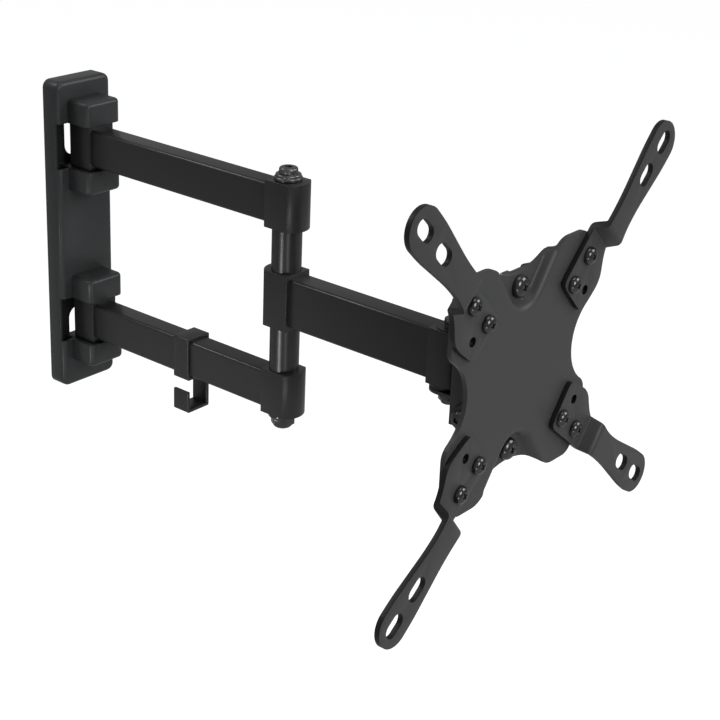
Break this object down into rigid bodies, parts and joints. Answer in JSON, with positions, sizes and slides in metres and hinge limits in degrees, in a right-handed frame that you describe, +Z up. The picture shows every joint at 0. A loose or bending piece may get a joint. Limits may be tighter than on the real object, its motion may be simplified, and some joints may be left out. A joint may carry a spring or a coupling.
{
  "type": "full-motion tv wall mount",
  "caption": "Full-motion wall mount for a flat screen: hinged double arm, forearm, swivel and tilt head, and a pressed plate with slotted screen arms.",
  "frame": {"origin": "centre of the wall plate's back face, on the wall", "axes": "+X right and +Z up for someone facing the wall, +Y into the wall; the arms stand straight out along -Y"},
  "size_m": [0.2406, 0.3478, 0.2185],
  "materials": {
    "cover plastic": "fine-grained black plastic",
    "bush plastic": "plain black nylon",
    "arm powder coat": "satin black powder coat on steel",
    "plate powder coat": "satin charcoal powder coat on steel",
    "black bracket coat": "satin black paint on steel",
    "black fasteners": "glossy blackened steel"
  },
  "bodies": {
    "wall_side": {"wall_plate": "arm powder coat", "wall_cover": "cover plastic", "upper_hinge_top_cap": "cover plastic", "upper_hinge_bottom_cap": "cover plastic", "lower_hinge_top_cap": "cover plastic", "lower_hinge_bottom_cap": "cover plastic", "hinge_bolts": "black fasteners", "hinge_nuts": "black fasteners"},
    "double_arm": {"wall_hinge_bushes": "bush plastic", "upper_arm_tube": "arm powder coat", "upper_arm_wall_knuckle": "arm powder coat", "upper_arm_elbow_knuckle": "arm powder coat", "lower_arm_tube": "arm powder coat", "lower_arm_wall_knuckle": "arm powder coat", "lower_arm_elbow_knuckle": "arm powder coat", "upper_elbow_spacer": "arm powder coat", "lower_elbow_spacer": "arm powder coat", "elbow_bolt": "black fasteners", "elbow_top_washer": "black fasteners", "elbow_bottom_washer": "black fasteners", "elbow_cap_nut": "black fasteners", "cable_clip": "arm powder coat"},
    "forearm": {"forearm_tube": "arm powder coat", "forearm_elbow_knuckle": "arm powder coat", "forearm_head_sleeve": "arm powder coat", "elbow_bushes": "bush plastic", "head_bushes": "bush plastic"},
    "swivel_head": {"swivel_bracket": "black bracket coat", "swivel_bolt": "black fasteners", "swivel_spacer": "bush plastic", "swivel_nut": "black fasteners"},
    "screen_side": {"tilt_bracket": "arm powder coat", "tilt_bolt": "black fasteners", "tilt_nut": "black fasteners", "tilt_friction_washers": "bush plastic", "screen_plate": "plate powder coat", "top_left_screen_arm": "plate powder coat", "top_right_screen_arm": "plate powder coat", "bottom_left_screen_arm": "plate powder coat", "bottom_right_screen_arm": "plate powder coat", "arm_screws": "black fasteners", "arm_nuts": "black fasteners", "pocket_screws": "black fasteners", "pocket_nuts": "black fasteners"}
  },
  "joints": [
    {"name": "wall_swivel", "type": "hinge", "parent": "wall_side", "child": "double_arm", "pos_m": [0, -0.0185, 0], "axis": [0, 0, 1], "range_deg": [-90, 90]},
    {"name": "elbow_swivel", "type": "hinge", "parent": "double_arm", "child": "forearm", "pos_m": [0, -0.178, 0], "axis": [0, 0, 1], "range_deg": [-105, 105]},
    {"name": "head_swivel", "type": "hinge", "parent": "forearm", "child": "swivel_head", "pos_m": [0, -0.2935, 0], "axis": [0, 0, 1], "range_deg": [-45, 45]},
    {"name": "screen_tilt", "type": "hinge", "parent": "swivel_head", "child": "screen_side", "pos_m": [0, -0.3125, -0.0215], "axis": [1, 0, 0], "range_deg": [-15, 15]}
  ]
}
